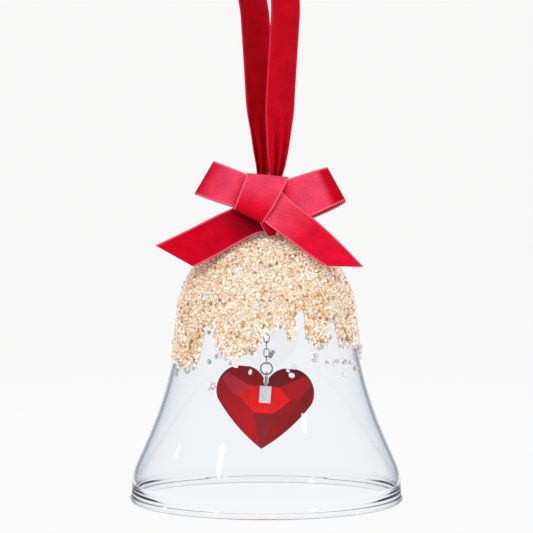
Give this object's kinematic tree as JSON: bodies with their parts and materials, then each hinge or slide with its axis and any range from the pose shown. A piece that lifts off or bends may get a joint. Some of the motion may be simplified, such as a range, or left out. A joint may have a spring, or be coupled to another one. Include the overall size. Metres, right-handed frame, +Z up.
{
  "type": "christmas bell ornament",
  "caption": "Clear glass hanging bell crusted with crystal chips, with a red heart clapper on a link chain and a red satin ribbon loop and bow.",
  "frame": {"origin": "hanging point, under the crown of the ribbon loop", "axes": "+Z up along the hanging line, the bow faces -Y, +X to the right seen from the front"},
  "size_m": [0.074, 0.074, 0.1501],
  "materials": {
    "red_satin": "woven satin ribbon with a soft sheen",
    "thread": "fine sewing thread",
    "clear_glass": "clear blown glass",
    "champagne_crystal": "crystal chips in pale champagne, sparkling",
    "ruby_glass": "faceted ruby red glass",
    "silver": "polished silver plate",
    "clear_rubber": "translucent silicone"
  },
  "bodies": {
    "ribbon": {"hanging_ribbon": "red_satin", "bow_stitches": "thread", "bow_tail_left": "red_satin", "bow_tail_right": "red_satin", "bow_loop_left": "red_satin", "bow_loop_right": "red_satin", "bow_knot": "red_satin"},
    "hanger": {"hanger_ring": "silver"},
    "bell": {"glass_bell": "clear_glass", "crystal_crust": "champagne_crystal", "scattered_crystals": "champagne_crystal", "outer_gasket": "clear_rubber", "crown_cap": "silver", "hanger_eye": "silver", "inner_gasket": "clear_rubber", "inner_washer": "silver", "chain_eye": "silver"},
    "link_01": {"chain_link_01": "silver"},
    "link_02": {"chain_link_02": "silver"},
    "link_03": {"chain_link_03": "silver"},
    "link_04": {"chain_link_04": "silver"},
    "link_05": {"chain_link_05": "silver"},
    "link_06": {"chain_link_06": "silver"},
    "link_07": {"chain_link_07": "silver"},
    "link_08": {"chain_link_08": "silver"},
    "link_09": {"chain_link_09": "silver"},
    "link_10": {"chain_link_10": "silver"},
    "link_11": {"chain_link_11": "silver"},
    "link_12": {"chain_link_12": "silver"},
    "link_13": {"chain_link_13": "silver"},
    "link_14": {"chain_link_14": "silver"},
    "link_15": {"chain_link_15": "silver"},
    "clapper_ring": {"heart_ring": "silver"},
    "heart": {"heart_crystal": "ruby_glass", "heart_bail": "silver", "bail_pin": "silver"}
  },
  "joints": [
    {"name": "ring_swing", "type": "hinge", "parent": "ribbon", "child": "hanger", "pos_m": [0, 0, -0.06845], "axis": [1, 0, 0], "range_deg": [-2, 10]},
    {"name": "bell_swing", "type": "hinge", "parent": "hanger", "child": "bell", "pos_m": [0, 0, -0.0724], "axis": [0, 1, 0], "range_deg": [-4, 4]},
    {"name": "link_01_swing", "type": "hinge", "parent": "bell", "child": "link_01", "pos_m": [0, 0, -0.08286], "axis": [0, 1, 0], "range_deg": [-18, 18]},
    {"name": "link_02_swing", "type": "hinge", "parent": "link_01", "child": "link_02", "pos_m": [0, 0, -0.08484], "axis": [1, 0, 0], "range_deg": [-20, 20]},
    {"name": "link_03_swing", "type": "hinge", "parent": "link_02", "child": "link_03", "pos_m": [0, 0, -0.08682], "axis": [0, -1, 0], "range_deg": [-15, 15]},
    {"name": "link_04_swing", "type": "hinge", "parent": "link_03", "child": "link_04", "pos_m": [0, 0, -0.0888], "axis": [-1, 0, 0], "range_deg": [-15, 15]},
    {"name": "link_05_swing", "type": "hinge", "parent": "link_04", "child": "link_05", "pos_m": [0, 0, -0.09078], "axis": [0, 1, 0], "range_deg": [-15, 15]},
    {"name": "link_06_swing", "type": "hinge", "parent": "link_05", "child": "link_06", "pos_m": [0, 0, -0.09276], "axis": [1, 0, 0], "range_deg": [-15, 15]},
    {"name": "link_07_swing", "type": "hinge", "parent": "link_06", "child": "link_07", "pos_m": [0, 0, -0.09474], "axis": [0, -1, 0], "range_deg": [-15, 15]},
    {"name": "link_08_swing", "type": "hinge", "parent": "link_07", "child": "link_08", "pos_m": [0, 0, -0.09672], "axis": [-1, 0, 0], "range_deg": [-15, 15]},
    {"name": "link_09_swing", "type": "hinge", "parent": "link_08", "child": "link_09", "pos_m": [0, 0, -0.0987], "axis": [0, 1, 0], "range_deg": [-15, 15]},
    {"name": "link_10_swing", "type": "hinge", "parent": "link_09", "child": "link_10", "pos_m": [0, 0, -0.10068], "axis": [1, 0, 0], "range_deg": [-15, 15]},
    {"name": "link_11_swing", "type": "hinge", "parent": "link_10", "child": "link_11", "pos_m": [0, 0, -0.10266], "axis": [0, -1, 0], "range_deg": [-15, 15]},
    {"name": "link_12_swing", "type": "hinge", "parent": "link_11", "child": "link_12", "pos_m": [0, 0, -0.10464], "axis": [-1, 0, 0], "range_deg": [-15, 15]},
    {"name": "link_13_swing", "type": "hinge", "parent": "link_12", "child": "link_13", "pos_m": [0, 0, -0.10662], "axis": [0, 1, 0], "range_deg": [-15, 15]},
    {"name": "link_14_swing", "type": "hinge", "parent": "link_13", "child": "link_14", "pos_m": [0, 0, -0.1086], "axis": [1, 0, 0], "range_deg": [-15, 15]},
    {"name": "link_15_swing", "type": "hinge", "parent": "link_14", "child": "link_15", "pos_m": [0, 0, -0.11058], "axis": [0, -1, 0], "range_deg": [-15, 15]},
    {"name": "clapper_ring_swing", "type": "hinge", "parent": "link_15", "child": "clapper_ring", "pos_m": [0, 0, -0.11291], "axis": [0, 1, 0], "range_deg": [-15, 15]},
    {"name": "heart_swing", "type": "hinge", "parent": "clapper_ring", "child": "heart", "pos_m": [0, 0, -0.11564], "axis": [1, 0, 0], "range_deg": [-20, 20]}
  ]
}
